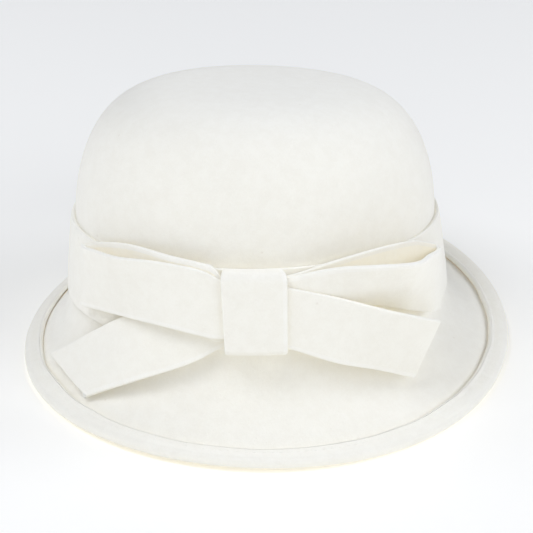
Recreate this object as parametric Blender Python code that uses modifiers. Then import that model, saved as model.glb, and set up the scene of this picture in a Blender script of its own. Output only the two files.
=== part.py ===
"""Cloche hat in pale wool felt, with a felt band and a flat felt bow.

The front of the hat faces -Y. Angles run round the crown from the front (0) toward +X (90).
The origin is on the floor under the middle of the brim.
"""
import math

import bpy
import numpy as np

MM = 0.001

MODEL_COLLECTION = "cloche_hat"
CUTTER_COLLECTION = "cutters"
BODY_COLOUR = (0.86, 0.84, 0.79)
STRIP_COLOUR = (0.88, 0.86, 0.81)
FELT_ROUGHNESS = 0.95

# Felt stock
FELT_THICKNESS = 2.2 * MM
STRIP_THICKNESS = 2.0 * MM
CLEARANCE = 0.3 * MM

# Crown oval, measured on the outside of the band
OVAL_RATIO = 1.18
CROWN_OFFSET_X = -7.7 * MM
CROWN_OFFSET_Y = 1.0 * MM
BAND_WIDTH = 38.0 * MM
BAND_LOWER_HALF_WIDTH = 87.4 * MM
BAND_UPPER_HALF_WIDTH = 83.5 * MM
BAND_LOWER_CENTRE_HEIGHT = 24.6 * MM
BAND_UPPER_SHIFT = -6.8 * MM
BACK_TILT = math.radians(8.7)
SIDE_TILT = math.radians(-2.1)

# Crown dome above the band
DOME_HEIGHT = 63.6 * MM
DOME_SHIFT_FORWARD = 8.6 * MM
DOME_SHIFT_SIDE = 1.7 * MM
DOME_TOP_TILT = math.radians(11.2)
DOME_SHOULDER_POWER = 0.39
DOME_RISE_POWER = 1.13
DOME_ROWS = 10
DOME_TOP_CUT = math.radians(89.97)
DOME_PROFILE_POINTS = 400

# Brim edge, measured on the outside of the folded hem
BRIM_HALF_WIDTH = 110.2 * MM
BRIM_HALF_LENGTH = 133.0 * MM
BRIM_EGG = 0.082
BRIM_BREAK_DROP = 3.0 * MM
BRIM_ROWS = 6
BRIM_PROFILE_POINTS = 60
BREAK_PULL = 0.22
EDGE_PULL = 0.36

# Hem folded up over the brim
HEM_WIDTH = 10.2 * MM
HEM_GAP = 0.3 * MM
HEM_ROWS = 3
FOLD_STEPS = 6

COLUMNS = 64
BAND_ROWS = 3

FLOOR_BLOCK_SIZE = 400.0 * MM
FLOOR_BLOCK_DEPTH = 20.0 * MM

# Brim round the hat: slope of the felt at the edge (positive is downward) and height of the
# edge's outermost line above the floor.
BRIM_TABLE_COLUMNS = ("angle_deg", "edge_slope_deg", "edge_height_mm")
BRIM_TABLE = (
    (0, -1.0, 4.2),
    (45, 17.0, 1.7),
    (90, 15.0, 2.6),
    (135, -8.0, 4.2),
    (180, -15.0, 4.6),
    (225, -11.0, 3.6),
    (270, 16.0, 1.9),
    (315, 17.0, 1.9),
)

# The bow is one strip laid in a flat Z. Its centre line is given on the band: angle round the crown,
# height up the band, standoff of the strip's middle from the band's outer face, lean of its top edge
# away from the crown, turn of its cross line toward +X, and its width, gathered inside the knot.
STRIP_TABLE_COLUMNS = (
    "place", "angle_deg", "height_mm", "standoff_mm", "lean_deg", "turn_deg", "width_mm",
    "steps",
)
STRIP_TABLE = (
    ("left tail end", -39.1, -24.9, 11.8, -29.0, -82.0, 28.5, 5),
    ("left tail", -31.6, -15.5, 7.2, -25.0, -34.0, 28.5, 6),
    ("left tail", -19.7, -3.5, 5.2, -13.0, -29.0, 28.5, 6),
    ("left tail", -4.5, 8.7, 3.6, -6.0, -20.0, 28.5, 6),
    ("knot, rear layer", 7.8, 18.5, 3.6, 0.0, 0.0, 26.6, 3),
    ("knot, rear layer", 15.7, 22.5, 3.6, 0.0, 0.0, 25.7, 3),
    ("knot, rear layer", 24.1, 22.3, 3.6, 0.0, 0.0, 26.6, 5),
    ("right loop, back", 39.0, 26.1, 2.5, 4.0, 0.0, 28.5, 5),
    ("right loop, back", 56.7, 26.6, 1.7, 0.0, 0.0, 28.5, 4),
    ("right loop, back", 68.7, 23.6, 1.6, 0.0, 1.0, 28.5, 4),
    ("right fold", 75.0, 19.9, 2.5, 0.0, 0.0, 28.5, 4),
    ("right fold", 77.4, 18.2, 5.3, 3.0, 3.0, 28.5, 4),
    ("right fold", 71.8, 19.4, 8.5, 9.0, 2.0, 28.5, 5),
    ("right loop, front", 65.1, 22.2, 9.7, 23.0, -4.0, 28.5, 3),
    ("right loop, front", 58.4, 25.3, 12.8, 33.0, -3.0, 28.5, 5),
    ("right loop, front", 43.6, 29.5, 12.3, 34.0, -2.0, 28.5, 4),
    ("right loop, front", 32.3, 24.6, 7.6, 9.0, 1.0, 28.5, 3),
    ("knot, middle layer", 25.1, 22.3, 5.9, 0.0, 2.0, 26.8, 3),
    ("knot, middle layer", 16.2, 21.4, 5.9, 0.0, 1.0, 27.1, 3),
    ("knot, middle layer", 7.1, 21.7, 5.9, 0.0, 1.0, 27.6, 2),
    ("left loop, back", 2.2, 26.2, 6.0, -1.0, 2.0, 28.5, 4),
    ("left loop, back", -8.6, 29.4, 5.3, -2.0, 0.0, 28.5, 4),
    ("left loop, back", -20.1, 29.7, 2.9, -3.0, 0.0, 28.5, 5),
    ("left loop, back", -32.4, 26.0, 1.6, 0.0, -2.0, 28.5, 3),
    ("left fold", -38.6, 22.8, 1.9, 0.0, 0.0, 28.5, 5),
    ("left fold", -41.2, 22.4, 3.9, 0.0, 0.0, 28.5, 5),
    ("left fold", -38.6, 23.0, 5.3, 5.0, 0.0, 28.5, 3),
    ("left loop, front", -32.8, 24.1, 5.7, 7.0, 0.0, 28.5, 5),
    ("left loop, front", -22.0, 25.8, 7.7, 9.0, -1.0, 28.5, 6),
    ("left loop, front", -8.1, 26.7, 8.6, -2.0, -1.0, 28.5, 4),
    ("left loop, front", 1.3, 24.9, 8.6, -2.0, 0.0, 28.5, 3),
    ("knot, front layer", 7.3, 22.3, 8.2, 0.0, 0.0, 26.0, 3),
    ("knot, front layer", 16.0, 22.3, 8.2, 0.0, 0.0, 26.0, 3),
    ("knot, front layer", 23.8, 18.2, 8.2, 0.0, 0.0, 26.0, 5),
    ("right tail", 37.1, 10.5, 11.8, 5.0, 6.0, 28.5, 5),
    ("right tail", 47.9, 3.2, 14.7, 15.0, 6.0, 28.5, 5),
    ("right tail end", 59.1, -5.2, 17.5, 19.0, 22.0, 28.5, 0),
)

# Knot: a rounded box section wrapped round the three layers of strip
KNOT_ANGLE = math.radians(15.6)
KNOT_LOWER_WIDTH = 24.8 * MM
KNOT_UPPER_WIDTH = 27.2 * MM
KNOT_LOWER_HEIGHT = 1.4 * MM
KNOT_UPPER_HEIGHT = 39.0 * MM
KNOT_INNER_STANDOFF = 0.3 * MM
KNOT_OUTER_STANDOFF = 11.5 * MM
KNOT_CORNER_COLUMNS = ("place", "upper", "outer", "radius_mm", "start_deg")
KNOT_CORNERS = (
    ("lower front", 0, 1, 3.0, -90),
    ("upper front", 1, 1, 3.8, 0),
    ("upper back", 1, 0, 2.6, 90),
    ("lower back", 0, 0, 2.3, 180),
)
KNOT_CORNER_STEPS = 3
KNOT_STATIONS = 5

# Small steps used to find directions on the band's surface
PROBE_LENGTH = 0.1 * MM
PROBE_ANGLE = math.radians(1.0)


def clear_scene():
    for thing in list(bpy.data.objects):
        bpy.data.objects.remove(thing, do_unlink=True)


def felt_material(name, colour):
    material = bpy.data.materials.new(name)
    material.use_nodes = True
    shader = material.node_tree.nodes["Principled BSDF"]
    shader.inputs["Base Color"].default_value = (*colour, 1.0)
    shader.inputs["Roughness"].default_value = FELT_ROUGHNESS
    shader.inputs["Metallic"].default_value = 0.0
    return material


def unit(vectors):
    return vectors / np.linalg.norm(vectors, axis=-1)[..., None]


def oval(angles, half_width, centre, back_tilt, side_tilt, standoff=0.0):
    """Points on a tilted oval, moved out from it by the standoff."""
    half_length = half_width * OVAL_RATIO
    out_x = np.sin(angles) / half_width
    out_y = -np.cos(angles) / half_length
    scale = standoff / np.hypot(out_x, out_y)
    x = half_width * np.sin(angles) + out_x * scale
    y = -half_length * np.cos(angles) + out_y * scale
    z = -y * math.sin(back_tilt) - x * math.sin(side_tilt)
    return np.stack([x, y * math.cos(back_tilt), z], axis=-1) + centre


def band_centre(height):
    share = height / BAND_WIDTH
    return np.stack([
        CROWN_OFFSET_X + height * math.sin(SIDE_TILT),
        CROWN_OFFSET_Y + height * math.sin(BACK_TILT) + BAND_UPPER_SHIFT * share,
        BAND_LOWER_CENTRE_HEIGHT + height * math.cos(BACK_TILT),
    ], axis=-1)


def band_surface(angles, height, standoff):
    """Points at a height up the band and a standoff from its outer face."""
    share = height / BAND_WIDTH
    half_width = BAND_LOWER_HALF_WIDTH + (BAND_UPPER_HALF_WIDTH - BAND_LOWER_HALF_WIDTH) * share
    return oval(angles, half_width, band_centre(height), BACK_TILT, SIDE_TILT, standoff)


def column_angles():
    return np.arange(COLUMNS) * 2.0 * math.pi / COLUMNS


def crown_standoff():
    """Middle of the crown's felt, behind the band and its clearance."""
    return -(STRIP_THICKNESS + CLEARANCE + FELT_THICKNESS / 2)


def resample(points, lengths):
    """Points at the given lengths along a polyline."""
    steps = np.linalg.norm(np.diff(points, axis=0), axis=1)
    walked = np.concatenate([[0.0], np.cumsum(steps)])
    return np.stack([np.interp(lengths, walked, points[:, axis]) for axis in range(3)], axis=-1)


def polyline_length(points):
    return float(np.linalg.norm(np.diff(points, axis=0), axis=1).sum())


def dome_rings():
    """Rings of the dome from the small top one down to the band's upper edge."""
    angles = column_angles()
    latitudes = np.linspace(0.0, DOME_TOP_CUT, DOME_PROFILE_POINTS)
    across = np.cos(latitudes) ** DOME_SHOULDER_POWER
    rise = np.sin(latitudes) ** DOME_RISE_POWER
    half_width = BAND_UPPER_HALF_WIDTH + crown_standoff()
    profile = np.stack([half_width * across, 0 * across, DOME_HEIGHT * rise], axis=-1)
    lengths = np.linspace(0.0, polyline_length(profile), DOME_ROWS + 1)[:-1]
    rows = resample(profile, lengths)
    base = band_centre(BAND_WIDTH)
    rings = []
    for row_width, _, row_height in rows:
        share = row_height / DOME_HEIGHT
        centre = base + (DOME_SHIFT_SIDE * share, -DOME_SHIFT_FORWARD * share, row_height)
        back_tilt = BACK_TILT + (DOME_TOP_TILT - BACK_TILT) * share
        rings.append(oval(angles, row_width, centre, back_tilt, SIDE_TILT))
    return rings[::-1]


def dome_apex():
    return band_centre(BAND_WIDTH) + (DOME_SHIFT_SIDE, -DOME_SHIFT_FORWARD, DOME_HEIGHT)


def wall_rings():
    """Rings of the crown's wall behind the band, top to bottom, below the upper edge."""
    heights = np.linspace(BAND_WIDTH, -BRIM_BREAK_DROP, BAND_ROWS + 1)[1:]
    return [band_surface(column_angles(), height, crown_standoff()) for height in heights]


def brim_table_column(angles, name):
    """A column of the brim table as a smooth periodic curve."""
    index = BRIM_TABLE_COLUMNS.index(name)
    known = np.array([row[index] for row in BRIM_TABLE], dtype=float)
    count = len(known)
    waves = np.fft.rfft(known) / count
    curve = np.full(len(angles), waves[0].real)
    for order in range(1, len(waves)):
        weight = 1.0 if 2 * order == count else 2.0
        curve = curve + weight * (waves[order] * np.exp(1j * order * angles)).real
    return curve


def brim_edge_frame():
    """Outermost line of the hem, and the felt's outward direction there."""
    angles = column_angles()
    slope = np.radians(brim_table_column(angles, "edge_slope_deg"))
    height = brim_table_column(angles, "edge_height_mm") * MM
    x = BRIM_HALF_WIDTH * np.sin(angles) * (1 + BRIM_EGG * np.cos(angles))
    y = -BRIM_HALF_LENGTH * np.cos(angles)
    edge = np.stack([x, y, height], axis=-1)
    along = np.roll(edge, -1, axis=0) - np.roll(edge, 1, axis=0)
    outward = unit(np.stack([along[:, 1], -along[:, 0], 0 * slope], axis=-1))
    felt = outward * np.cos(slope)[:, None]
    felt[:, 2] = -np.sin(slope)
    return edge, felt


def fold_radius():
    """Radius of the fold at the middle of the felt."""
    return (FELT_THICKNESS + HEM_GAP) / 2


def brim_rings():
    """Rings of the brim from under the break to the fold, then round it and along the hem."""
    edge, felt = brim_edge_frame()
    start = band_surface(column_angles(), -BRIM_BREAK_DROP, crown_standoff())
    above = band_surface(column_angles(), 0.0, crown_standoff())
    wall = unit(start - above)
    lift = unit(np.cross(np.roll(edge, -1, axis=0) - np.roll(edge, 1, axis=0), felt))
    lift = lift * np.sign(lift[:, 2:])
    reach = fold_radius() + FELT_THICKNESS / 2
    end = edge - felt * reach - lift * fold_radius()
    hem_reach = HEM_WIDTH - reach
    steps = np.linspace(0.0, 1.0, BRIM_PROFILE_POINTS)[:, None]
    columns = []
    for column in range(COLUMNS):
        chord = np.linalg.norm(end[column] - start[column])
        handles = (
            start[column],
            start[column] + wall[column] * chord * BREAK_PULL,
            end[column] - felt[column] * chord * EDGE_PULL,
            end[column],
        )
        curve = (
            handles[0] * (1 - steps) ** 3
            + 3 * handles[1] * steps * (1 - steps) ** 2
            + 3 * handles[2] * steps ** 2 * (1 - steps)
            + handles[3] * steps ** 3
        )
        length = polyline_length(curve)
        free = np.linspace(0.0, length - hem_reach, BRIM_ROWS + 1)[1:]
        hemmed = np.linspace(length - hem_reach, length, HEM_ROWS + 1)[1:]
        columns.append(resample(curve, np.concatenate([free, hemmed])))
    grid = np.stack(columns, axis=1)
    along = np.roll(grid, -1, axis=1) - np.roll(grid, 1, axis=1)
    normals = unit(np.cross(np.gradient(grid, axis=0), along))
    normals = normals * np.sign(normals[..., 2:])
    rings = list(grid)
    centre = grid[-1] + lift * fold_radius()
    for step in range(1, FOLD_STEPS):
        turn = math.pi * step / FOLD_STEPS
        rings.append(centre + (felt * math.sin(turn) - lift * math.cos(turn)) * fold_radius())
    rings.append(centre + lift * fold_radius())
    for row in range(1, HEM_ROWS + 1):
        rings.append(grid[-1 - row] + normals[-1 - row] * 2 * fold_radius())
    return rings


def loft(name, rings, material, apex=None, closed=True):
    """An open sheet through rings of points, as a mesh object."""
    count = len(rings[0])
    points = [tuple(point) for ring in rings for point in ring]
    faces = []
    spans = count if closed else count - 1
    for row in range(len(rings) - 1):
        for column in range(spans):
            after = (column + 1) % count
            faces.append((
                row * count + column,
                (row + 1) * count + column,
                (row + 1) * count + after,
                row * count + after,
            ))
    if apex is not None:
        points.append(tuple(apex))
        faces += [(len(points) - 1, column, (column + 1) % count) for column in range(count)]
    mesh = bpy.data.meshes.new(name)
    mesh.from_pydata(points, [], faces)
    mesh.validate()
    mesh.shade_smooth()
    thing = bpy.data.objects.new(name, mesh)
    thing.data.materials.append(material)
    bpy.data.collections[MODEL_COLLECTION].objects.link(thing)
    return thing


def thicken(thing, thickness):
    solidify = thing.modifiers.new("felt", "SOLIDIFY")
    solidify.thickness = thickness
    solidify.offset = 0.0
    solidify.use_even_offset = True
    solidify.use_rim = True


def floor_cutter():
    """A block under the floor, which flattens the felt where it rests."""
    bpy.ops.mesh.primitive_cube_add(size=1.0, location=(0, 0, -FLOOR_BLOCK_DEPTH / 2))
    block = bpy.context.object
    block.name = "floor_block"
    block.scale = (FLOOR_BLOCK_SIZE, FLOOR_BLOCK_SIZE, FLOOR_BLOCK_DEPTH)
    block.hide_render = True
    block.display_type = "WIRE"
    for holder in list(block.users_collection):
        holder.objects.unlink(block)
    bpy.data.collections[CUTTER_COLLECTION].objects.link(block)
    return block


def build_felt_body(material):
    rings = dome_rings() + wall_rings() + brim_rings()
    body = loft("felt_body", rings, material, apex=dome_apex())
    thicken(body, FELT_THICKNESS)
    rest = body.modifiers.new("flattened where it rests", "BOOLEAN")
    rest.operation = "DIFFERENCE"
    rest.object = floor_cutter()
    return body


def build_band(material):
    middle = -STRIP_THICKNESS / 2
    heights = np.linspace(BAND_WIDTH, 0.0, BAND_ROWS)
    rings = [band_surface(column_angles(), height, middle) for height in heights]
    band = loft("hat_band", rings, material)
    thicken(band, STRIP_THICKNESS)
    return band


def smooth_rows(rows, known, lengths):
    """Rows of values read as a smooth curve at lengths, given the length at each row."""
    gaps = np.diff(known)
    slopes = np.gradient(rows, known, axis=0)
    span = np.clip(np.searchsorted(known, lengths, side="right") - 1, 0, len(gaps) - 1)
    step = ((lengths - known[span]) / gaps[span])[:, None]
    width = gaps[span][:, None]
    return (
        rows[span] * (1 + 2 * step) * (1 - step) ** 2
        + slopes[span] * width * step * (1 - step) ** 2
        + rows[span + 1] * step ** 2 * (3 - 2 * step)
        - slopes[span + 1] * width * step ** 2 * (1 - step)
    )


def strip_places():
    """Angle, height, standoff, lean, turn and width of the strip at each station."""
    degree = math.radians(1.0)
    scales = (degree, MM, MM, degree, degree, MM)
    first = STRIP_TABLE_COLUMNS.index("angle_deg")
    rows = np.array([row[first:first + len(scales)] for row in STRIP_TABLE]) * scales
    points = band_surface(rows[:, 0], rows[:, 1], rows[:, 2])
    gaps = np.linalg.norm(np.diff(points, axis=0), axis=1)
    known = np.concatenate([[0.0], np.cumsum(gaps)])
    lengths = []
    for start, gap, row in zip(known[:-1], gaps, STRIP_TABLE):
        steps = row[STRIP_TABLE_COLUMNS.index("steps")]
        lengths += list(start + gap * np.arange(steps) / steps)
    lengths = np.array(lengths + [known[-1]])
    return smooth_rows(rows, known, lengths)


def strip_edges():
    """Lower, middle and upper lines of the bow's strip, station by station."""
    angle, height, standoff, lean, turn, width = strip_places().T
    centres = band_surface(angle, height, standoff)
    upward = unit(band_surface(angle, height + PROBE_LENGTH, standoff) - centres)
    outward = unit(band_surface(angle, height, standoff + PROBE_LENGTH) - centres)
    sideways = unit(np.cross(outward, upward))
    leaning = upward * np.cos(lean)[:, None] + outward * np.sin(lean)[:, None]
    across = unit(leaning * np.cos(turn)[:, None] - sideways * np.sin(turn)[:, None])
    along = unit(np.gradient(centres, axis=0))
    squareness = np.linalg.norm(np.cross(across, along), axis=1)[:, None]
    half = across / squareness * width[:, None] / 2
    return [centres - half, centres, centres + half]


def build_bow_strip(material):
    strip = loft("bow_strip", strip_edges(), material, closed=False)
    thicken(strip, STRIP_THICKNESS)
    return strip


def knot_section():
    """Height and standoff round the knot, at the middle of its felt."""
    heights = (KNOT_LOWER_HEIGHT, KNOT_UPPER_HEIGHT)
    standoffs = (KNOT_INNER_STANDOFF, KNOT_OUTER_STANDOFF)
    section = []
    for _, upper, outer, radius, start in KNOT_CORNERS:
        radius *= MM
        height = heights[upper] + (-radius if upper else radius)
        standoff = standoffs[outer] + (-radius if outer else radius)
        middle = radius - STRIP_THICKNESS / 2
        for step in range(KNOT_CORNER_STEPS + 1):
            turn = math.radians(start + 90 * step / KNOT_CORNER_STEPS)
            section.append((height + middle * math.sin(turn), standoff + middle * math.cos(turn)))
    return section


def knot_half_turn(height):
    """Half the knot's width at a height, as an angle round the crown."""
    middle = (KNOT_INNER_STANDOFF + KNOT_OUTER_STANDOFF) / 2
    probes = KNOT_ANGLE + np.array([-PROBE_ANGLE, PROBE_ANGLE])
    ends = band_surface(probes, BAND_WIDTH / 2, middle)
    share = (height - KNOT_LOWER_HEIGHT) / (KNOT_UPPER_HEIGHT - KNOT_LOWER_HEIGHT)
    width = KNOT_LOWER_WIDTH + (KNOT_UPPER_WIDTH - KNOT_LOWER_WIDTH) * share
    return width / np.linalg.norm(ends[1] - ends[0]) * PROBE_ANGLE


def build_knot(material):
    section = knot_section()
    rings = []
    for share in np.linspace(-1.0, 1.0, KNOT_STATIONS):
        ring = []
        for place in section:
            angle = KNOT_ANGLE + share * knot_half_turn(place[0])
            ring.append(band_surface(angle, *place))
        rings.append(np.array(ring))
    knot = loft("bow_knot", rings, material)
    thicken(knot, STRIP_THICKNESS)
    return knot


def main():
    clear_scene()
    for name in (MODEL_COLLECTION, CUTTER_COLLECTION):
        bpy.context.scene.collection.children.link(bpy.data.collections.new(name))
    build_felt_body(felt_material("body_felt", BODY_COLOUR))
    build_band(felt_material("band_felt", STRIP_COLOUR))
    build_bow_strip(felt_material("strip_felt", STRIP_COLOUR))
    build_knot(felt_material("knot_felt", STRIP_COLOUR))


main()
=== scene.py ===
"""Looks of the cloche hat: pale wool felt, a felt band, and a flat felt bow with cut edges.

The front of the hat faces -Y. Angles run round the crown from the front (0) toward +X (90).
Sizes are metres. The tables follow those of the CAD source, and the surfaces here are finer.
"""
import math

import bmesh
import bpy
import numpy as np
from mathutils import Matrix, Vector


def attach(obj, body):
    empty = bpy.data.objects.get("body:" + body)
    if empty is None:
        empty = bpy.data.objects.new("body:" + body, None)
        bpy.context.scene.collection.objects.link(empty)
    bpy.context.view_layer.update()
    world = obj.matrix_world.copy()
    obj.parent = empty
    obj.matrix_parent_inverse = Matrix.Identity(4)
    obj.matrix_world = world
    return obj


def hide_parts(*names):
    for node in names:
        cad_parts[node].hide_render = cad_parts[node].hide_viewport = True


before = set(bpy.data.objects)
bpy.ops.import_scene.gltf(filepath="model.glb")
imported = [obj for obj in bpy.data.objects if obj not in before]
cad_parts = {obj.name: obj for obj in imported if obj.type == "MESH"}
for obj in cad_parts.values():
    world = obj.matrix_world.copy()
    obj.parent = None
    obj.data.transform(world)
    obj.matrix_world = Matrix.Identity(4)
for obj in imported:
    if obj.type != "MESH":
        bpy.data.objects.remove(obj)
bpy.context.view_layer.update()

MM = 0.001
DEGREE = math.pi / 180

# Felt stock
FELT_THICKNESS = 2.2 * MM
STRIP_THICKNESS = 2.0 * MM
CLEARANCE = 0.3 * MM
EDGE_ROUNDING = 0.55 * MM
EDGE_STEPS = 3

# Crown oval, measured on the outside of the band
OVAL_RATIO = 1.18
CROWN_OFFSET_X = -7.7 * MM
CROWN_OFFSET_Y = 1.0 * MM
BAND_WIDTH = 38.0 * MM
BAND_LOWER_HALF_WIDTH = 87.4 * MM
BAND_UPPER_HALF_WIDTH = 83.5 * MM
BAND_LOWER_CENTRE_HEIGHT = 24.6 * MM
BAND_UPPER_SHIFT = -6.8 * MM
BACK_TILT = 8.7 * DEGREE
SIDE_TILT = -2.1 * DEGREE

# Crown dome above the band
DOME_HEIGHT = 63.6 * MM
DOME_SHIFT_FORWARD = 8.6 * MM
DOME_SHIFT_SIDE = 1.7 * MM
DOME_TOP_TILT = 11.2 * DEGREE
DOME_SHOULDER_POWER = 0.39
DOME_RISE_POWER = 1.13
DOME_ROWS = 36
DOME_TOP_CUT = 89.9999 * DEGREE
DOME_PROFILE_POINTS = 900
DOME_TOP_SHARE = 0.995

# Brim edge, measured on the outside of the folded hem
BRIM_HALF_WIDTH = 110.2 * MM
BRIM_HALF_LENGTH = 133.0 * MM
BRIM_EGG = 0.082
BRIM_BREAK_DROP = 3.0 * MM
BRIM_ROWS = 22
BRIM_PROFILE_POINTS = 120
BREAK_PULL = 0.22
EDGE_PULL = 0.36

# Hem folded up over the brim, with its row of stitches. Its free lip is pressed down at the front
# and lifts round the sides and the back, most on the right.
HEM_WIDTH = 10.2 * MM
HEM_GAP = 0.3 * MM
HEM_ROWS = 16
FOLD_STEPS = 10
HEM_BULGE = 0.45 * MM
HEM_LIP_FRONT = -0.18 * MM
HEM_LIP_LEFT = 0.35 * MM
HEM_LIP_RIGHT = 0.6 * MM
HEM_LIP_START = 25 * DEGREE
HEM_LIP_FULL = 95 * DEGREE
HEM_LIP_POWER = 1.5
HEM_CUT_DRIFT = 0.3 * MM
STITCH_INSET = 2.9 * MM
STITCH_GROOVE = 0.18 * MM
STITCH_GROOVE_WIDTH = 1.5 * MM
STITCH_PUCKER = 0.05 * MM
STITCH_LENGTH = 2.7 * MM
STITCH_PITCH = 3.7 * MM
STITCH_SCATTER_ALONG = 0.12 * MM
STITCH_SCATTER_ASIDE = 0.08 * MM
STITCH_STEPS = 6
STITCH_SEED = 21
THREAD_RADIUS = 0.17 * MM
THREAD_SIDES = 6

# Height of the thread's arch and depth of its ends, in radii of the thread
THREAD_ARCH = 2.2
THREAD_SINKING = 1.6

# Unevenness of the body's felt: a swell everywhere, a pucker at the stitches, and a drift of the
# hem's cut edge
UNEVEN_WAVES = 10
SWELL_RISE = 0.12 * MM
SWELL_SIZE = 55.0 * MM
SWELL_SEED = 4
PUCKER_SIZE = 9.0 * MM
PUCKER_SEED = 11
DRIFT_SIZE = 28.0 * MM
DRIFT_SEED = 12
DRIFT_POWER = 3

# Rows and columns of the meshes
COLUMNS = 384
WALL_ROWS = 8
BAND_ROWS = 20
STRIP_COLUMNS = 14

# How far the band's edges are pressed toward the crown, and how sharply
BAND_PRESS = 0.5 * MM
BAND_PRESS_POWER = 6

# Places in a piece's list of materials. The third holds painted warm shade, in the hem's fold and
# inside the bow's loops.
FELT_FACE = 0
CUT_FACE = 1
PAINTED_SHADE_FACE = 2

# Colours of the felt, each with a deeper one for its mottling
FELT_COLOUR = (0.965, 0.935, 0.825)
FELT_DEEP = (0.935, 0.9, 0.785)
CUT_COLOUR = (0.975, 0.95, 0.855)
CUT_DEEP = (0.95, 0.92, 0.815)
# Painted warm shade in the crease of the hem's fold, between hem and brim, with a deeper colour
# for its mottling
FOLD_SHADE_COLOUR = (0.96, 0.88, 0.7)
FOLD_SHADE_DEEP = (0.94, 0.85, 0.65)
# Painted warm shade inside the bow's loops, with a deeper colour for its mottling
LOOP_SHADE_COLOUR = (0.985, 0.945, 0.805)
LOOP_SHADE_DEEP = (0.97, 0.92, 0.765)

# Felts: name, colour, deeper colour and strength of the nap. The fold and loop rows are painted
# warm shade, not felts of their own.
FELTS = (
    ("cut_felt", CUT_COLOUR, CUT_DEEP, 0.6),
    ("brushed_felt", FELT_COLOUR, FELT_DEEP, 1.0),
    ("strip_felt", FELT_COLOUR, FELT_DEEP, 0.8),
    ("sewing_thread", CUT_COLOUR, FELT_DEEP, 0.3),
    ("fold_painted_shade", FOLD_SHADE_COLOUR, FOLD_SHADE_DEEP, 1.0),
    ("loop_painted_shade", LOOP_SHADE_COLOUR, LOOP_SHADE_DEEP, 0.8),
)
FELT_SHADER = {
    "Roughness": 0.95,
    "Diffuse Roughness": 0.6,
    "Specular IOR Level": 0.1,
    "Sheen Weight": 0.05,
    "Sheen Roughness": 0.6,
}

# Fine surface of the felt, with scales per metre
MOTTLE_NOISE = {"Scale": 170.0, "Detail": 5.0, "Roughness": 0.7}
FIBRE_NOISE = {"Scale": 900.0, "Detail": 4.0, "Roughness": 0.65, "Distortion": 1.8}
PILL_NOISE = {"Scale": 330.0, "Detail": 2.0, "Roughness": 0.5}
MOTTLE_RANGE = {"From Min": 0.86, "From Max": 1.14}
PILL_STRENGTH = 0.6
PILL_RISE = 0.4 * MM
FIBRE_STRENGTH = 1.0
FIBRE_RISE = 0.24 * MM

# Specks of darker wool: how dark, how rare, and where they fade within their cells
SPECK_COLOUR = (0.6, 0.5, 0.36)
SPECK_DEPTH = 0.22
SPECK_SHARE = 0.035
SPECK_CELLS = {"Scale": 240.0, "Randomness": 1.0}
SPECK_FADE = {"From Min": 0.05, "From Max": 0.2, "To Min": SPECK_DEPTH, "To Max": 0.0}

# Brim round the hat: slope of the felt at the edge (positive is downward) and height of the
# edge's outermost line above the floor.
BRIM_TABLE_COLUMNS = ("angle_deg", "edge_slope_deg", "edge_height_mm")
BRIM_TABLE = (
    (0, -1.0, 4.2),
    (45, 17.0, 1.7),
    (90, 15.0, 2.6),
    (135, -8.0, 4.2),
    (180, -15.0, 4.6),
    (225, -11.0, 3.6),
    (270, 16.0, 1.9),
    (315, 17.0, 1.9),
)

# The bow is one strip laid in a flat Z. Its centre line is given on the band: angle round the
# crown, height up the band, standoff of the strip's middle from the band's outer face, lean of its
# top edge away from the crown, turn of its cross line toward +X, and its width, gathered inside
# the knot. Rows in and beside the knot are those of the CAD source, and the others are smoothed.
STRIP_REFINEMENT = 3
STRIP_TABLE_COLUMNS = (
    "place", "angle_deg", "height_mm", "standoff_mm", "lean_deg", "turn_deg", "width_mm",
    "steps",
)
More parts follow.
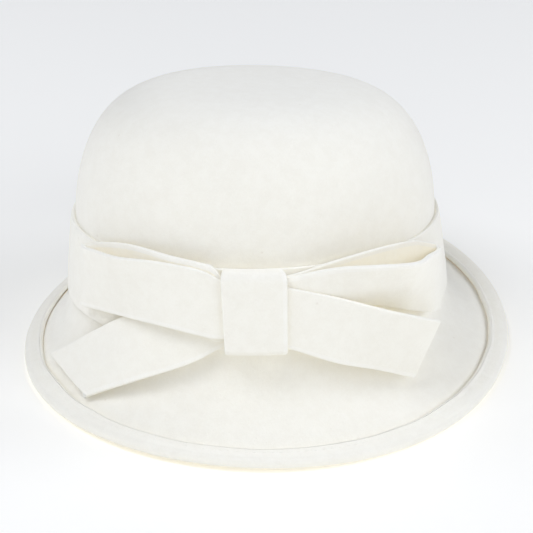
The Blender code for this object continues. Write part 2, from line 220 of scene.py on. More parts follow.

# Insides of the two loops, which get painted warm shade: first row of the table, last row, and
# whether it is the back side
LOOP_SHADE_STATIONS = ((6, 17, False), (19, 31, True))
STRIP_TABLE = (
    ("left tail end", -38.7, -24.6, 12.3, -30.3, -82.1, 28.5, 5),
    ("left tail", -31.0, -14.8, 7.5, -24.7, -33.0, 28.5, 6),
    ("left tail", -19.4, -3.3, 5.6, -15.4, -30.5, 28.5, 6),
    ("left tail", -4.5, 8.7, 3.6, -6.0, -20.0, 28.5, 6),
    ("knot, rear layer", 7.8, 18.5, 3.6, 0.0, 0.0, 26.6, 3),
    ("knot, rear layer", 15.7, 22.5, 3.6, 0.0, 0.0, 25.7, 3),
    ("knot, rear layer", 24.1, 22.3, 3.6, 0.0, 0.0, 26.6, 5),
    ("right loop, back", 39.3, 26.3, 2.7, 4.6, 0.4, 28.5, 5),
    ("right loop, back", 55.2, 27.0, 2.1, 1.6, 0.5, 28.5, 4),
    ("right loop, back", 67.4, 24.2, 1.8, 1.0, 1.9, 28.5, 4),
    ("right fold", 74.8, 20.0, 2.4, -1.0, 0.0, 28.5, 4),
    ("right fold", 78.0, 17.8, 4.9, 3.0, 2.8, 28.5, 4),
    ("right fold", 71.6, 19.5, 8.7, 9.9, 0.7, 28.5, 5),
    ("right loop, front", 64.8, 22.6, 10.6, 22.8, -6.3, 28.5, 3),
    ("right loop, front", 57.7, 25.7, 13.9, 32.8, -5.7, 28.5, 5),
    ("right loop, front", 44.8, 29.4, 12.4, 34.1, -4.4, 28.5, 4),
    ("right loop, front", 33.8, 25.3, 7.7, 12.3, 0.8, 28.5, 3),
    ("knot, middle layer", 25.1, 22.3, 5.9, 0.0, 2.0, 26.8, 3),
    ("knot, middle layer", 16.2, 21.4, 5.9, 0.0, 1.0, 27.1, 3),
    ("knot, middle layer", 7.1, 21.7, 5.9, 0.0, 1.0, 27.6, 2),
    ("left loop, back", 2.2, 26.2, 6.0, -1.0, 2.0, 28.5, 4),
    ("left loop, back", -8.5, 29.7, 5.4, 1.0, 0.2, 28.5, 4),
    ("left loop, back", -19.6, 29.9, 3.1, -1.7, -0.5, 28.5, 5),
    ("left loop, back", -32.7, 25.8, 1.6, -0.7, -2.7, 28.5, 3),
    ("left fold", -38.5, 22.8, 1.8, 1.0, -0.2, 28.5, 5),
    ("left fold", -41.3, 22.2, 3.8, 1.0, -0.1, 28.5, 5),
    ("left fold", -38.7, 22.9, 5.0, 5.2, 0.0, 28.5, 3),
    ("left loop, front", -32.5, 24.2, 5.8, 7.6, -0.5, 28.5, 5),
    ("left loop, front", -21.9, 25.9, 7.9, 9.4, -1.5, 28.5, 6),
    ("left loop, front", -8.5, 26.8, 8.7, -1.2, -1.4, 28.5, 4),
    ("left loop, front", 1.3, 24.9, 8.6, -2.0, 0.0, 28.5, 3),
    ("knot, front layer", 7.3, 22.3, 8.2, 0.0, 0.0, 26.0, 3),
    ("knot, front layer", 16.0, 22.3, 8.2, 0.0, 0.0, 26.0, 3),
    ("knot, front layer", 23.8, 18.2, 8.2, 0.0, 0.0, 26.0, 5),
    ("right tail", 36.3, 10.8, 11.0, 2.9, 2.7, 28.5, 5),
    ("right tail", 48.0, 3.2, 14.7, 16.7, 12.3, 28.5, 5),
    ("right tail end", 59.0, -5.1, 17.7, 20.2, 20.2, 28.5, 0),
)

# Knot: a rounded box section wrapped round the three layers of strip. Each corner has a place,
# whether it is upper and whether outer, its radius in millimetres and its first angle in degrees.
KNOT_ANGLE = 15.6 * DEGREE
KNOT_LOWER_WIDTH = 24.8 * MM
KNOT_UPPER_WIDTH = 27.2 * MM
KNOT_LOWER_HEIGHT = 1.4 * MM
KNOT_UPPER_HEIGHT = 39.0 * MM
KNOT_INNER_STANDOFF = 0.3 * MM
KNOT_OUTER_STANDOFF = 11.5 * MM
KNOT_CORNERS = (
    ("lower front", 0, 1, 3.0, -90),
    ("upper front", 1, 1, 3.8, 0),
    ("upper back", 1, 0, 2.6, 90),
    ("lower back", 0, 0, 2.3, 180),
)
KNOT_CORNER_STEPS = 7
KNOT_TALL_STEPS = 10
KNOT_SHORT_STEPS = 2
KNOT_STATIONS = 14

# Small steps used to find directions on the band's surface
PROBE_LENGTH = 0.1 * MM
PROBE_ANGLE = 1.0 * DEGREE

# Camera, at the photograph's viewing angle
CAMERA_AZIMUTH = 14.014 * DEGREE
CAMERA_ELEVATION = 26.227 * DEGREE
CAMERA_ROLL = -0.782 * DEGREE
CAMERA_TARGET = (-3.82 * MM, 0.0, 32.26 * MM)
CAMERA_DISTANCE = 1.204
CAMERA_LENS = 175.455
SENSOR_WIDTH = 36.0

# Studio: soft boxes round the hat and a pale floor that glows a little. Each light has a name,
# an azimuth and an elevation in degrees, and its strength.
LIGHTS = (
    ("front", 14, 15, 0.50),
    ("left front", -30, 30, 0.29),
    ("upper left", -30, 60, 1.49),
    ("left", -80, 30, 0.75),
    ("right", 60, 30, 1.08),
    ("right back", 110, 30, 1.19),
)
LIGHT_COLOUR = (0.85, 0.89, 1.0)
LIGHT_POWER = 14.5
LIGHT_SIZE = 1.1
LIGHT_DISTANCE = 2.2
LIGHT_AIM_HEIGHT = 60.0 * MM
LIGHT_BOUNCES = 10
FLOOR_LEVEL = -0.1 * MM
FLOOR_SIZE = 8.0
FLOOR_COLOUR = (0.95, 0.915, 0.83)
FLOOR_ROUGHNESS = 0.9
FLOOR_SPECULAR = 0.1
FLOOR_GLOW = 0.21
FLOOR_GLOW_COLOUR = (0.9, 0.95, 1.0)
VIEW_GAMMA = 1.3


def unit(vectors):
    return vectors / np.linalg.norm(vectors, axis=-1)[..., None]


def oval(angles, half_width, centre, back_tilt, side_tilt, standoff=0.0):
    """Points on a tilted oval, moved out from it by the standoff."""
    half_length = half_width * OVAL_RATIO
    out_x = np.sin(angles) / half_width
    out_y = -np.cos(angles) / half_length
    scale = standoff / np.hypot(out_x, out_y)
    x = half_width * np.sin(angles) + out_x * scale
    y = -half_length * np.cos(angles) + out_y * scale
    z = -y * math.sin(back_tilt) - x * math.sin(side_tilt)
    return np.stack([x, y * math.cos(back_tilt), z], axis=-1) + centre


def band_centre(height):
    share = height / BAND_WIDTH
    return np.stack([
        CROWN_OFFSET_X + height * math.sin(SIDE_TILT),
        CROWN_OFFSET_Y + height * math.sin(BACK_TILT) + BAND_UPPER_SHIFT * share,
        BAND_LOWER_CENTRE_HEIGHT + height * math.cos(BACK_TILT),
    ], axis=-1)


def band_surface(angles, height, standoff):
    """Points at a height up the band and a standoff from its outer face."""
    share = height / BAND_WIDTH
    half_width = BAND_LOWER_HALF_WIDTH + (BAND_UPPER_HALF_WIDTH - BAND_LOWER_HALF_WIDTH) * share
    return oval(angles, half_width, band_centre(height), BACK_TILT, SIDE_TILT, standoff)


def column_angles():
    return np.arange(COLUMNS) * 2.0 * math.pi / COLUMNS


def crown_standoff():
    """Middle of the crown's felt, behind the band and its clearance."""
    return -(STRIP_THICKNESS + CLEARANCE + FELT_THICKNESS / 2)


def step_lengths(points):
    """Length of each step of a polyline."""
    return np.linalg.norm(np.diff(points, axis=0), axis=1)


def running_total(steps):
    """Length walked at each point, from the lengths of the steps between them."""
    return np.concatenate([[0.0], np.cumsum(steps)])


def polyline_length(points):
    return float(step_lengths(points).sum())


def read_along(walked, values, lengths):
    """Points or directions at the given lengths, from those at each walked length."""
    return np.stack([np.interp(lengths, walked, values[:, axis]) for axis in range(3)], axis=-1)


def resample(points, lengths):
    """Points at the given lengths along a polyline."""
    return read_along(running_total(step_lengths(points)), points, lengths)


def dome_rings():
    """Rings of the dome from the small top one down to the band's upper edge."""
    angles = column_angles()
    latitudes = DOME_TOP_CUT * np.linspace(0.0, 1.0, DOME_PROFILE_POINTS)
    across = np.cos(latitudes) ** DOME_SHOULDER_POWER
    rise = np.sin(latitudes) ** DOME_RISE_POWER
    half_width = BAND_UPPER_HALF_WIDTH + crown_standoff()
    profile = np.stack([half_width * across, 0 * across, DOME_HEIGHT * rise], axis=-1)
    whole = polyline_length(profile) * DOME_TOP_SHARE
    rows = resample(profile, np.linspace(0.0, whole, DOME_ROWS + 1)[:-1])
    base = band_centre(BAND_WIDTH)
    rings = []
    for row_width, _, row_height in rows:
        share = row_height / DOME_HEIGHT
        centre = base + (DOME_SHIFT_SIDE * share, -DOME_SHIFT_FORWARD * share, row_height)
        back_tilt = BACK_TILT + (DOME_TOP_TILT - BACK_TILT) * share
        rings.append(oval(angles, row_width, centre, back_tilt, SIDE_TILT))
    return rings[::-1]


def wall_rings():
    """Rings of the crown's wall behind the band, top to bottom, below the upper edge."""
    heights = np.linspace(BAND_WIDTH, -BRIM_BREAK_DROP, WALL_ROWS + 1)[1:]
    return [band_surface(column_angles(), height, crown_standoff()) for height in heights]


def brim_table_column(angles, name):
    """A column of the brim table as a smooth periodic curve."""
    index = BRIM_TABLE_COLUMNS.index(name)
    known = np.array([row[index] for row in BRIM_TABLE], dtype=float)
    count = len(known)
    waves = np.fft.rfft(known) / count
    curve = np.full(len(angles), waves[0].real)
    for order in range(1, len(waves)):
        weight = 1.0 if 2 * order == count else 2.0
        curve = curve + weight * (waves[order] * np.exp(1j * order * angles)).real
    return curve


def brim_edge_frame():
    """Outermost line of the hem, and the felt's outward direction there."""
    angles = column_angles()
    slope = np.radians(brim_table_column(angles, "edge_slope_deg"))
    height = brim_table_column(angles, "edge_height_mm") * MM
    x = BRIM_HALF_WIDTH * np.sin(angles) * (1 + BRIM_EGG * np.cos(angles))
    y = -BRIM_HALF_LENGTH * np.cos(angles)
    edge = np.stack([x, y, height], axis=-1)
    along = np.roll(edge, -1, axis=0) - np.roll(edge, 1, axis=0)
    outward = unit(np.stack([along[:, 1], -along[:, 0], 0 * slope], axis=-1))
    felt = outward * np.cos(slope)[:, None]
    felt[:, 2] = -np.sin(slope)
    return edge, felt


def fold_radius():
    """Radius of the fold at the middle of the felt."""
    return (FELT_THICKNESS + HEM_GAP) / 2


def hem_lip():
    """How far the hem's free lip lifts in each column."""
    from_front = np.abs((column_angles() + math.pi) % (2.0 * math.pi) - math.pi)
    share = np.clip((from_front - HEM_LIP_START) / (HEM_LIP_FULL - HEM_LIP_START), 0.0, 1.0)
    share = share ** 2 * (3.0 - 2.0 * share)
    right = (1.0 + np.sin(column_angles())) / 2.0
    full_lip = HEM_LIP_LEFT + (HEM_LIP_RIGHT - HEM_LIP_LEFT) * right
    return HEM_LIP_FRONT + (full_lip - HEM_LIP_FRONT) * share


def hem_lift(distance, points):
    """How far the hem's middle stands above its flat place, by distance from the fold."""
    stitch = HEM_WIDTH - STITCH_INSET
    bulge = HEM_BULGE * math.sin(math.pi * min(distance / stitch, 1.0))
    groove = math.exp(-((distance - stitch) / STITCH_GROOVE_WIDTH) ** 2)
    pucker = STITCH_PUCKER * unevenness(points, PUCKER_SIZE, PUCKER_SEED)
    past = max((distance - stitch) / STITCH_INSET, 0.0)
    return bulge - groove * (STITCH_GROOVE - pucker) + hem_lip() * past ** HEM_LIP_POWER


def brim_curve(start, wall, felt, end):
    """The brim's line in one column, from under the break to the fold."""
    chord = np.linalg.norm(end - start)
    handles = (start, start + wall * chord * BREAK_PULL, end - felt * chord * EDGE_PULL, end)
    steps = np.linspace(0.0, 1.0, BRIM_PROFILE_POINTS)[:, None]
    return (
        handles[0] * (1 - steps) ** 3
        + 3 * handles[1] * steps * (1 - steps) ** 2
        + 3 * handles[2] * steps ** 2 * (1 - steps)
        + handles[3] * steps ** 3
    )


def brim_grid(starts, walls, felt, ends, hem_reach):
    """Rows of points over the free brim, then over the part under the hem."""
    columns = []
    for place in zip(starts, walls, felt, ends):
        curve = brim_curve(*place)
        length = polyline_length(curve)
        free = np.linspace(0.0, length - hem_reach, BRIM_ROWS + 1)[1:]
        hemmed = np.linspace(length - hem_reach, length, HEM_ROWS + 1)[1:]
        columns.append(resample(curve, np.concatenate([free, hemmed])))
    return np.stack(columns, axis=1)


def brim_rings():
    """Rings of the brim from under the break to the fold, then round it and along the hem."""
    edge, felt = brim_edge_frame()
    start = band_surface(column_angles(), -BRIM_BREAK_DROP, crown_standoff())
    above = band_surface(column_angles(), 0.0, crown_standoff())
    lift = unit(np.cross(np.roll(edge, -1, axis=0) - np.roll(edge, 1, axis=0), felt))
    lift = lift * np.sign(lift[:, 2:])
    reach = fold_radius() + FELT_THICKNESS / 2
    hem_reach = HEM_WIDTH - reach
    end = edge - felt * reach - lift * fold_radius()
    grid = brim_grid(start, unit(start - above), felt, end, hem_reach)
    rings = list(grid)
    centre = grid[-1] + lift * fold_radius()
    for step in range(1, FOLD_STEPS):
        turn = math.pi * step / FOLD_STEPS
        rings.append(centre + (felt * math.sin(turn) - lift * math.cos(turn)) * fold_radius())
    rings.append(centre + lift * fold_radius())
    return rings + hem_rings(grid, felt, reach, hem_reach)


def hem_rings(grid, felt, reach, hem_reach):
    """Rings of the hem from the fold to its cut edge, above the brim's last rows."""
    along = np.roll(grid, -1, axis=1) - np.roll(grid, 1, axis=1)
    normals = unit(np.cross(np.gradient(grid, axis=0), along))
    normals = normals * np.sign(normals[..., 2:])
    rings = []
    for row in range(1, HEM_ROWS + 1):
        share = row / HEM_ROWS
        flat = grid[-1 - row]
        rise = 2 * fold_radius() + hem_lift(reach + hem_reach * share, flat)
        drift = HEM_CUT_DRIFT * unevenness(flat, DRIFT_SIZE, DRIFT_SEED) * share ** DRIFT_POWER
        rings.append(flat + normals[-1 - row] * rise[:, None] + felt * drift[:, None])
    return rings


def sheet_normals(grid, closed_along):
    """Unit normals of a sheet whose first axis runs along it and whose second runs across it."""
    if closed_along:
        along = np.roll(grid, -1, axis=0) - np.roll(grid, 1, axis=0)
    else:
        along = np.gradient(grid, axis=0)
    return unit(np.cross(along, np.gradient(grid, axis=1)))


def rounded_edge(points, outward, normals, half):
    """Rows round a cut edge, from the side the normals point to, to the other side."""
    rows = []
    half = np.broadcast_to(half, points.shape[:-1])[..., None]
    rounding = np.minimum(EDGE_ROUNDING, half)
    for side in (1.0, -1.0):
        centre = points - outward * rounding + normals * (half - rounding) * side
        for step in range(EDGE_STEPS + 1):
            turn = math.pi / 2 * step / EDGE_STEPS
            if side < 0:
                turn = math.pi / 2 - turn
            swing = outward * math.sin(turn) + normals * math.cos(turn) * side
            rows.append(centre + swing * rounding)
    return rows


def new_piece(name, points, faces, materials, kinds=()):
    """A smooth mesh in the scene. Kinds gives each face's place in the materials."""
    mesh = bpy.data.meshes.new(name)
    mesh.from_pydata([tuple(point) for point in points.reshape(-1, 3)], [], faces)
    for material in materials:
        mesh.materials.append(material)
    if kinds:
        mesh.polygons.foreach_set("material_index", kinds)
    mesh.validate()
    mesh.shade_smooth()
    piece = bpy.data.objects.new(name, mesh)
    bpy.context.scene.collection.objects.link(piece)
    return piece


def end_faces(along, across):
    """Faces across both open ends of a sheet, between its two sides."""
    middle = across - EDGE_STEPS - 1
    last = (along - 1) * across
    faces = []
    for step in range(across // 2 - 1):
        offsets = (step, step + 1, -step - 2, -step - 1)
        corners = [(middle + offset) % across for offset in offsets]
        faces.append(tuple(corners))
        faces.append(tuple(last + corner for corner in reversed(corners)))
    return faces


def sheet_mesh(
    name, loops, closed_along, closed_across, materials, edge_rows=(), painted_shade_rows=(), ends=False,
):
    """A mesh through loops of points: first axis along the sheet, second round its section."""
    along, across = loops.shape[:2]
    rows = along if closed_along else along - 1
    columns = across if closed_across else across - 1
    faces = []
    for row in range(rows):
        after = (row + 1) % along
        for column in range(columns):
            beside = (column + 1) % across
            faces.append((
                row * across + column,
                after * across + column,
                after * across + beside,
                row * across + beside,
            ))
    kinds = [FELT_FACE] * columns
    # Rows that get the painted warm shade
    for column in painted_shade_rows:
        kinds[column] = PAINTED_SHADE_FACE
    for column in edge_rows:
        kinds[column] = CUT_FACE
    kinds = kinds * rows
    if ends:
        caps = end_faces(along, across)
        faces += caps
        kinds += [CUT_FACE] * len(caps)
    return new_piece(name, loops, faces, materials, kinds)


def unevenness(points, size, seed):
    """Smooth irregular values, mostly from -1 to 1, with bumps of about the given size."""
    generator = np.random.default_rng(seed)
    total = np.zeros(points.shape[:-1])
    for _ in range(UNEVEN_WAVES):
        direction = unit(generator.normal(size=3))
        phase = generator.uniform(0.0, 2.0 * math.pi)
        total += np.sin(points @ direction * 2.0 * math.pi / size + phase)
    return total / math.sqrt(UNEVEN_WAVES)


def swell_facing(count):
    """How the unevenness moves each row, so that the brim and the hem over it move alike."""
    facing = np.ones(count)
    turns = np.linspace(0.0, math.pi, FOLD_STEPS + 1)[1:-1]
    facing[-HEM_ROWS - FOLD_STEPS:-HEM_ROWS - 1] = np.cos(turns)
    facing[-HEM_ROWS - 1:] = -1.0
    return facing


def build_body(materials):
    """Crown, brim and hem as one felt, and the lines of the hem's two rows of stitches."""
    grid = np.array(dome_rings() + wall_rings() + brim_rings()).transpose(1, 0, 2)
    normals = sheet_normals(grid, True)
    if normals[:, :DOME_ROWS, 2].mean() < 0:
        normals = -normals
    swell = unevenness(grid, SWELL_SIZE, SWELL_SEED) * swell_facing(grid.shape[1]) * SWELL_RISE
    grid = grid + normals * swell[..., None]
    half = FELT_THICKNESS / 2
    outer = grid + normals * half
    inner = grid - normals * half
    outward = unit(grid[:, -1] - grid[:, -2])
    edge = rounded_edge(grid[:, -1], outward, normals[:, -1], half)
    rows = [outer[:, row] for row in range(outer.shape[1] - 1)]
    first_edge = len(rows)
    rows += edge
    last_edge = len(rows) - 1
    rows += [inner[:, row] for row in reversed(range(inner.shape[1] - 1))]
    loops = np.stack(rows, axis=1)
    loops[..., 2] = np.maximum(loops[..., 2], 0.0)
    hem_end = grid.shape[1] - 1
    fold_start = hem_end - 2 * HEM_ROWS - FOLD_STEPS + 1
    # Rows inside the hem's fold, from the brim under the hem round to the hem's underside, get
    # painted warm shade
    body = sheet_mesh(
        "felt_body_surface", loops, True, False, materials,
        edge_rows=range(first_edge, last_edge), painted_shade_rows=range(fold_start, first_edge),
    )
    close_tips(body)
    inset_rows = round(STITCH_INSET / (HEM_WIDTH - fold_radius() - half) * HEM_ROWS)
    under_row = hem_end - 2 * HEM_ROWS - FOLD_STEPS + inset_rows
    seams = [
        (inner[:, row], -normals[:, row]) for row in (hem_end - inset_rows, under_row)
    ]
    return body, seams


def close_tips(body):
    """Closes the small rings at the top of the crown, outside and inside."""
    tool = bmesh.new()
    tool.from_mesh(body.data)
    open_edges = [side for side in tool.edges if side.is_boundary]
    bmesh.ops.holes_fill(tool, edges=open_edges, sides=0)
    tool.to_mesh(body.data)
    tool.free()


def stitch_rings(points, normals, generator):
    """Rings of points along the thread of each stitch in one seam."""
    around = np.concatenate([points, points[:1]])
    facing = np.concatenate([normals, normals[:1]])
    walked = running_total(step_lengths(around))
    count = round(walked[-1] / STITCH_PITCH)
    shares = np.linspace(0.0, 1.0, STITCH_STEPS + 1)
    rise = THREAD_RADIUS * (THREAD_ARCH * np.sin(np.pi * shares) - THREAD_SINKING)
    turns = np.arange(THREAD_SIDES) * 2.0 * math.pi / THREAD_SIDES
    stitches = []
    for index in range(count):
        start = walked[-1] * index / count + generator.normal() * STITCH_SCATTER_ALONG
        aside = generator.normal() * STITCH_SCATTER_ASIDE
        lengths = (start + STITCH_LENGTH * shares) % walked[-1]
        line = read_along(walked, around, lengths)
        up = read_along(walked, facing, lengths)
        side = unit(np.cross(unit(np.gradient(line, axis=0)), up))
        line = line + up * rise[:, None] + side * aside
        stitches.append([
            line + (side * math.cos(turn) + up * math.sin(turn)) * THREAD_RADIUS
            for turn in turns
        ])
    return stitches


def thread_faces(stitches, stations, sides):
    """Faces of every stitch: a tube with both ends closed."""
    faces = []
    for stitch in range(stitches):
        first = stitch * stations * sides
        for station in range(stations - 1):
            low = first + station * sides
            high = low + sides
            for corner in range(sides):
                beside = (corner + 1) % sides
                faces.append((low + corner, low + beside, high + beside, high + corner))
        faces.append(tuple(reversed(range(first, first + sides))))
        faces.append(tuple(range(first + (stations - 1) * sides, first + stations * sides)))
    return faces


def build_stitches(seams, material):
    """Short running stitches round the hem, sunk into the felt at both ends."""
    generator = np.random.default_rng(STITCH_SEED)
    rings = []
    for points, normals in seams:
        rings += stitch_rings(points, normals, generator)
    rings = np.array(rings).transpose(0, 2, 1, 3)
    return new_piece("hem_stitches", rings, thread_faces(*rings.shape[:3]), [material])


def felt_sheet(name, grid, closed_along, materials, half, ends=False):
    """A felt strip with rounded cut edges: grid runs along it, then across it."""
    if ends:
        grid, half = round_ends(grid, half)
    else:
        half = np.full(len(grid), half)
    normals = sheet_normals(grid, closed_along)
    lift = normals * half[:, None, None]
    low_out = unit(grid[:, 0] - grid[:, 1])
    high_out = unit(grid[:, -1] - grid[:, -2])
    rows = [grid[:, row] + lift[:, row] for row in range(1, grid.shape[1] - 1)]
    first = len(rows)
    rows += rounded_edge(grid[:, -1], high_out, normals[:, -1], half)
    second = len(rows)
    rows += [grid[:, row] - lift[:, row] for row in reversed(range(1, grid.shape[1] - 1))]
    third = len(rows)
    rows += rounded_edge(grid[:, 0], low_out, normals[:, 0], half)[::-1]
    edge_rows = set(range(first, second)) | set(range(third, len(rows)))
    return sheet_mesh(
        name, np.stack(rows, axis=1), closed_along, True, materials, edge_rows, ends=ends,
    )


def round_ends(grid, half):
    """Stations at both ends of a strip that thin it down to a rounded cut end."""
    turns = np.linspace(0.0, math.pi / 2, EDGE_STEPS + 1)
    thinner = half - EDGE_ROUNDING * (1.0 - np.cos(turns))
    shifts = EDGE_ROUNDING * (np.sin(turns) - 1.0)
    head = unit(grid[0] - grid[1])
    tail = unit(grid[-1] - grid[-2])
    first = [grid[0] + head * shift for shift in shifts[::-1]]
    last = [grid[-1] + tail * shift for shift in shifts]
    halves = [thinner[::-1], np.full(len(grid) - 2, half), thinner]
    return np.concatenate([first, grid[1:-1], last]), np.concatenate(halves)


def build_band(materials):
    """The band, with rows closer together near its edges, which are pressed to the crown."""
    shares = np.linspace(0.0, 1.0, BAND_ROWS + 1)
    shares = shares - np.sin(shares * 2.0 * math.pi) / (3.0 * math.pi)
    rings = []
    for share in shares:
        pressed = BAND_PRESS * abs(2.0 * share - 1.0) ** BAND_PRESS_POWER
        middle = -STRIP_THICKNESS / 2 - pressed
        rings.append(band_surface(column_angles(), share * BAND_WIDTH, middle))
    grid = np.stack(rings, axis=1)
    return felt_sheet("felt_band", grid, True, materials, STRIP_THICKNESS / 2)


def smooth_rows(rows, known, lengths):
    """Rows of values read as a smooth curve at lengths, given the length at each row."""
    gaps = np.diff(known)
    slopes = np.gradient(rows, known, axis=0)
    span = np.clip(np.searchsorted(known, lengths, side="right") - 1, 0, len(gaps) - 1)
    step = ((lengths - known[span]) / gaps[span])[:, None]
    width = gaps[span][:, None]
    return (
        rows[span] * (1 + 2 * step) * (1 - step) ** 2
        + slopes[span] * width * step * (1 - step) ** 2
        + rows[span + 1] * step ** 2 * (3 - 2 * step)
        - slopes[span + 1] * width * step ** 2 * (1 - step)
    )


def strip_steps():
    """Number of steps of the strip from each row of its table to the next."""
    column = STRIP_TABLE_COLUMNS.index("steps")
    return [row[column] * STRIP_REFINEMENT for row in STRIP_TABLE]


def strip_places():
    """Angle, height, standoff, lean, turn and width of the strip at each station."""
    scales = (DEGREE, MM, MM, DEGREE, DEGREE, MM)
    first = STRIP_TABLE_COLUMNS.index("angle_deg")
    rows = np.array([row[first:first + len(scales)] for row in STRIP_TABLE]) * scales
    gaps = step_lengths(band_surface(rows[:, 0], rows[:, 1], rows[:, 2]))
    known = running_total(gaps)
    lengths = []
    for start, gap, steps in zip(known[:-1], gaps, strip_steps()):
        lengths += list(start + gap * np.arange(steps) / steps)
    lengths = np.array(lengths + [known[-1]])
    return smooth_rows(rows, known, lengths)


def strip_grid():
    """Points over the bow's strip: station by station, then across it."""
    angle, height, standoff, lean, turn, width = strip_places().T
    centres = band_surface(angle, height, standoff)
    upward = unit(band_surface(angle, height + PROBE_LENGTH, standoff) - centres)
    outward = unit(band_surface(angle, height, standoff + PROBE_LENGTH) - centres)
    sideways = unit(np.cross(outward, upward))
    leaning = upward * np.cos(lean)[:, None] + outward * np.sin(lean)[:, None]
    across = unit(leaning * np.cos(turn)[:, None] - sideways * np.sin(turn)[:, None])
    along = unit(np.gradient(centres, axis=0))
    squareness = np.linalg.norm(np.cross(across, along), axis=1)[:, None]
    half = across / squareness * width[:, None] / 2
    shares = np.linspace(-1.0, 1.0, STRIP_COLUMNS + 1)
    return centres[:, None] + half[:, None] * shares[None, :, None]


def build_strip(materials):
    grid = strip_grid()
    strip = felt_sheet("bow_strip_felt", grid, False, materials, STRIP_THICKNESS / 2, ends=True)
    paint_loop_shade(strip)
    return strip


def paint_loop_shade(strip):
    """Gives the sides of the strip that face into the loops a painted warm shade."""
    side = STRIP_COLUMNS - 1
    edge = 2 * (EDGE_STEPS + 1)
    around = 2 * (side + edge)
    steps = strip_steps()
    for first, last, back in LOOP_SHADE_STATIONS:
        columns = range(side + edge, 2 * side + edge - 1) if back else range(side - 1)
        for row in range(EDGE_STEPS + sum(steps[:first]), EDGE_STEPS + sum(steps[:last])):
            for column in columns:
                strip.data.polygons[row * around + column].material_index = PAINTED_SHADE_FACE


def knot_section():
    """Height and standoff round the knot, at the middle of its felt."""
    heights = (KNOT_LOWER_HEIGHT, KNOT_UPPER_HEIGHT)
    standoffs = (KNOT_INNER_STANDOFF, KNOT_OUTER_STANDOFF)
    corners = []
    for _, upper, outer, radius, start in KNOT_CORNERS:
        radius *= MM
        height = heights[upper] + (-radius if upper else radius)
        standoff = standoffs[outer] + (-radius if outer else radius)
        middle = radius - STRIP_THICKNESS / 2
        arc = []
        for step in range(KNOT_CORNER_STEPS + 1):
            turn = math.radians(start + 90 * step / KNOT_CORNER_STEPS)
            arc.append((height + middle * math.sin(turn), standoff + middle * math.cos(turn)))
        corners.append(arc)
    section = []
    for arc, ahead in zip(corners, corners[1:] + corners[:1]):
        section += arc
        tall = abs(ahead[0][0] - arc[-1][0]) > BAND_WIDTH / 2
        steps = KNOT_TALL_STEPS if tall else KNOT_SHORT_STEPS
        section += [tuple(place) for place in np.linspace(arc[-1], ahead[0], steps + 1)[1:-1]]
    return section


def knot_half_turn(height):
    """Half the knot's width at a height, as an angle round the crown."""
    middle = (KNOT_INNER_STANDOFF + KNOT_OUTER_STANDOFF) / 2
    probes = KNOT_ANGLE + np.array([-PROBE_ANGLE, PROBE_ANGLE])
    ends = band_surface(probes, BAND_WIDTH / 2, middle)
    share = (height - KNOT_LOWER_HEIGHT) / (KNOT_UPPER_HEIGHT - KNOT_LOWER_HEIGHT)
    width = KNOT_LOWER_WIDTH + (KNOT_UPPER_WIDTH - KNOT_LOWER_WIDTH) * share
    return width / np.linalg.norm(ends[1] - ends[0]) * PROBE_ANGLE


def build_knot(materials):
    """The short strip wrapped round the bow, as wide as its height calls for."""
    shares = np.linspace(-1.0, 1.0, KNOT_STATIONS + 1)
    rows = []
    for place in knot_section():
        angles = KNOT_ANGLE + shares * knot_half_turn(place[0])
        rows.append([band_surface(angle, *place) for angle in angles])
    return felt_sheet("bow_knot_felt", np.array(rows), True, materials, STRIP_THICKNESS / 2)


def set_inputs(node, values):
    for name, value in values.items():
        node.inputs[name].default_value = value


def new_node(tree, kind, values=None, **settings):
    node = tree.nodes.new(kind)
    for name, value in settings.items():
        setattr(node, name, value)
    set_inputs(node, values or {})
    return node


def felt_material(name, colour, deep, nap):
    """Matt wool felt: faint mottling, fine matted fibres, a few dull specks of darker wool."""
    material = bpy.data.materials.new(name)
    material.use_nodes = True
    tree = material.node_tree
    shader = tree.nodes["Principled BSDF"]
    set_inputs(shader, FELT_SHADER)
    place = new_node(tree, "ShaderNodeTexCoord")
    mottle = add_noise(tree, place, MOTTLE_NOISE)
    fibres = add_noise(tree, place, FIBRE_NOISE)
    pills = add_noise(tree, place, PILL_NOISE)
    tint = add_mottling(tree, mottle, fibres, colour, deep)
    add_nap(tree, pills, fibres, nap, shader)
    add_specks(tree, place, tint, shader)
    return material


def add_noise(tree, place, values):
    noise = new_node(tree, "ShaderNodeTexNoise", values)
    tree.links.new(place.outputs["Object"], noise.inputs["Vector"])
    return noise


def add_mottling(tree, mottle, fibres, colour, deep):
    """The felt's two colours, mixed in soft patches and fine fibres."""
    link = tree.links.new
    matted = new_node(tree, "ShaderNodeMath", operation="ADD")
    link(mottle.outputs["Fac"], matted.inputs[0])
    link(fibres.outputs["Fac"], matted.inputs[1])
    shade = new_node(tree, "ShaderNodeMapRange", MOTTLE_RANGE)
    link(matted.outputs["Value"], shade.inputs["Value"])
    tint = new_node(tree, "ShaderNodeMix", data_type="RGBA")
    set_inputs(tint, {"A": (*deep, 1.0), "B": (*colour, 1.0)})
    link(shade.outputs["Result"], tint.inputs["Factor"])
    return tint


def add_nap(tree, pills, fibres, nap, shader):
    """Raised pills with finer fibres on them, scaled by the strength of the nap."""
    link = tree.links.new
    soft = new_node(tree, "ShaderNodeBump", {"Distance": PILL_RISE})
    fine = new_node(tree, "ShaderNodeBump", {"Distance": FIBRE_RISE})
    soft.inputs["Strength"].default_value = PILL_STRENGTH * nap
    fine.inputs["Strength"].default_value = FIBRE_STRENGTH * nap
    link(pills.outputs["Fac"], soft.inputs["Height"])
    link(fibres.outputs["Fac"], fine.inputs["Height"])
    link(soft.outputs["Normal"], fine.inputs["Normal"])
    link(fine.outputs["Normal"], shader.inputs["Normal"])


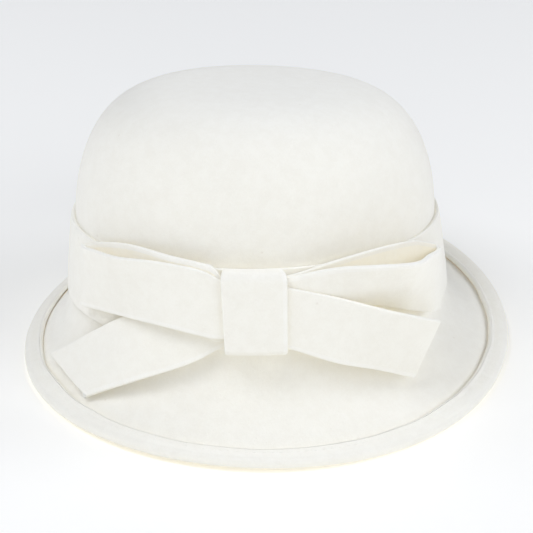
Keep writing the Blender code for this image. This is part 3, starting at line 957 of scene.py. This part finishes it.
def add_specks(tree, place, tint, shader):
    """Rare small specks, a little darker than the felt, in random cells."""
    link = tree.links.new
    cells = new_node(tree, "ShaderNodeTexVoronoi", SPECK_CELLS)
    link(place.outputs["Object"], cells.inputs["Vector"])
    near = new_node(tree, "ShaderNodeMapRange", SPECK_FADE)
    link(cells.outputs["Distance"], near.inputs["Value"])
    chance = new_node(tree, "ShaderNodeSeparateColor")
    link(cells.outputs["Color"], chance.inputs["Color"])
    rare = new_node(tree, "ShaderNodeMath", operation="GREATER_THAN")
    rare.inputs[1].default_value = 1.0 - SPECK_SHARE
    link(chance.outputs["Red"], rare.inputs[0])
    speck = new_node(tree, "ShaderNodeMath", operation="MULTIPLY")
    link(near.outputs["Result"], speck.inputs[0])
    link(rare.outputs["Value"], speck.inputs[1])
    speckled = new_node(tree, "ShaderNodeMix", data_type="RGBA")
    speckled.inputs["B"].default_value = (*SPECK_COLOUR, 1.0)
    link(tint.outputs["Result"], speckled.inputs["A"])
    link(speck.outputs["Value"], speckled.inputs["Factor"])
    link(speckled.outputs["Result"], shader.inputs["Base Color"])


def floor_material():
    """Matt pale floor that glows a little."""
    material = bpy.data.materials.new("floor_white")
    material.use_nodes = True
    set_inputs(material.node_tree.nodes["Principled BSDF"], {
        "Base Color": (*FLOOR_COLOUR, 1.0),
        "Roughness": FLOOR_ROUGHNESS,
        "Specular IOR Level": FLOOR_SPECULAR,
        "Emission Color": (*FLOOR_GLOW_COLOUR, 1.0),
        "Emission Strength": FLOOR_GLOW,
    })
    return material


def build_floor():
    bpy.ops.mesh.primitive_plane_add(size=FLOOR_SIZE, location=(0.0, 0.0, FLOOR_LEVEL))
    floor = bpy.context.object
    floor.name = "floor"
    floor.data.materials.append(floor_material())


def soft_light(name, azimuth, elevation, strength):
    """A large square area light that faces the hat from a direction round it."""
    data = bpy.data.lights.new(name, "AREA")
    data.shape = "SQUARE"
    data.size = LIGHT_SIZE
    data.energy = LIGHT_POWER * strength
    data.color = LIGHT_COLOUR
    light = bpy.data.objects.new(name, data)
    back = direction(azimuth * DEGREE, elevation * DEGREE)
    light.location = Vector((0.0, 0.0, LIGHT_AIM_HEIGHT)) + back * LIGHT_DISTANCE
    light.rotation_euler = back.to_track_quat("Z", "Y").to_euler()
    bpy.context.scene.collection.objects.link(light)


def direction(azimuth, elevation):
    return Vector((
        math.sin(azimuth) * math.cos(elevation),
        -math.cos(azimuth) * math.cos(elevation),
        math.sin(elevation),
    ))


def build_camera():
    """A camera that looks at the hat from the photograph's angle, turned by a small roll."""
    data = bpy.data.cameras.new("camera")
    data.lens = CAMERA_LENS
    data.sensor_width = SENSOR_WIDTH
    camera = bpy.data.objects.new("camera", data)
    back = direction(CAMERA_AZIMUTH, CAMERA_ELEVATION)
    level = Vector((math.cos(CAMERA_AZIMUTH), math.sin(CAMERA_AZIMUTH), 0.0))
    upright = back.cross(level)
    right = level * math.cos(CAMERA_ROLL) - upright * math.sin(CAMERA_ROLL)
    up = level * math.sin(CAMERA_ROLL) + upright * math.cos(CAMERA_ROLL)
    matrix = Matrix((right, up, back)).transposed().to_4x4()
    matrix.translation = Vector(CAMERA_TARGET) + back * CAMERA_DISTANCE
    camera.matrix_world = matrix
    bpy.context.scene.collection.objects.link(camera)
    bpy.context.scene.camera = camera


def build_world():
    """Surroundings that give no light of their own."""
    world = bpy.data.worlds.new("studio")
    world.use_nodes = True
    background = world.node_tree.nodes["Background"]
    background.inputs["Strength"].default_value = 0.0
    bpy.context.scene.world = world


def finish_piece(piece, node):
    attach(piece, "root")
    if node:
        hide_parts(node)


def main():
    felts = {row[0]: felt_material(*row) for row in FELTS}
    cut = felts["cut_felt"]
    strip_felt = felts["strip_felt"]
    # The body's third material is painted warm shade in the hem's fold
    body, seams = build_body([felts["brushed_felt"], cut, felts["fold_painted_shade"]])
    stitches = build_stitches(seams, felts["sewing_thread"])
    band = build_band([strip_felt, cut])
    # The strip's third material is painted warm shade inside the loops
    strip = build_strip([strip_felt, cut, felts["loop_painted_shade"]])
    knot = build_knot([strip_felt, cut])
    finish_piece(body, "felt_body")
    finish_piece(stitches, None)
    finish_piece(band, "hat_band")
    finish_piece(strip, "bow_strip")
    finish_piece(knot, "bow_knot")
    build_floor()
    for row in LIGHTS:
        soft_light(*row)
    build_world()
    build_camera()
    bpy.context.scene.view_settings.view_transform = "Standard"
    bpy.context.scene.view_settings.gamma = VIEW_GAMMA
    bpy.context.scene.cycles.diffuse_bounces = LIGHT_BOUNCES


main()
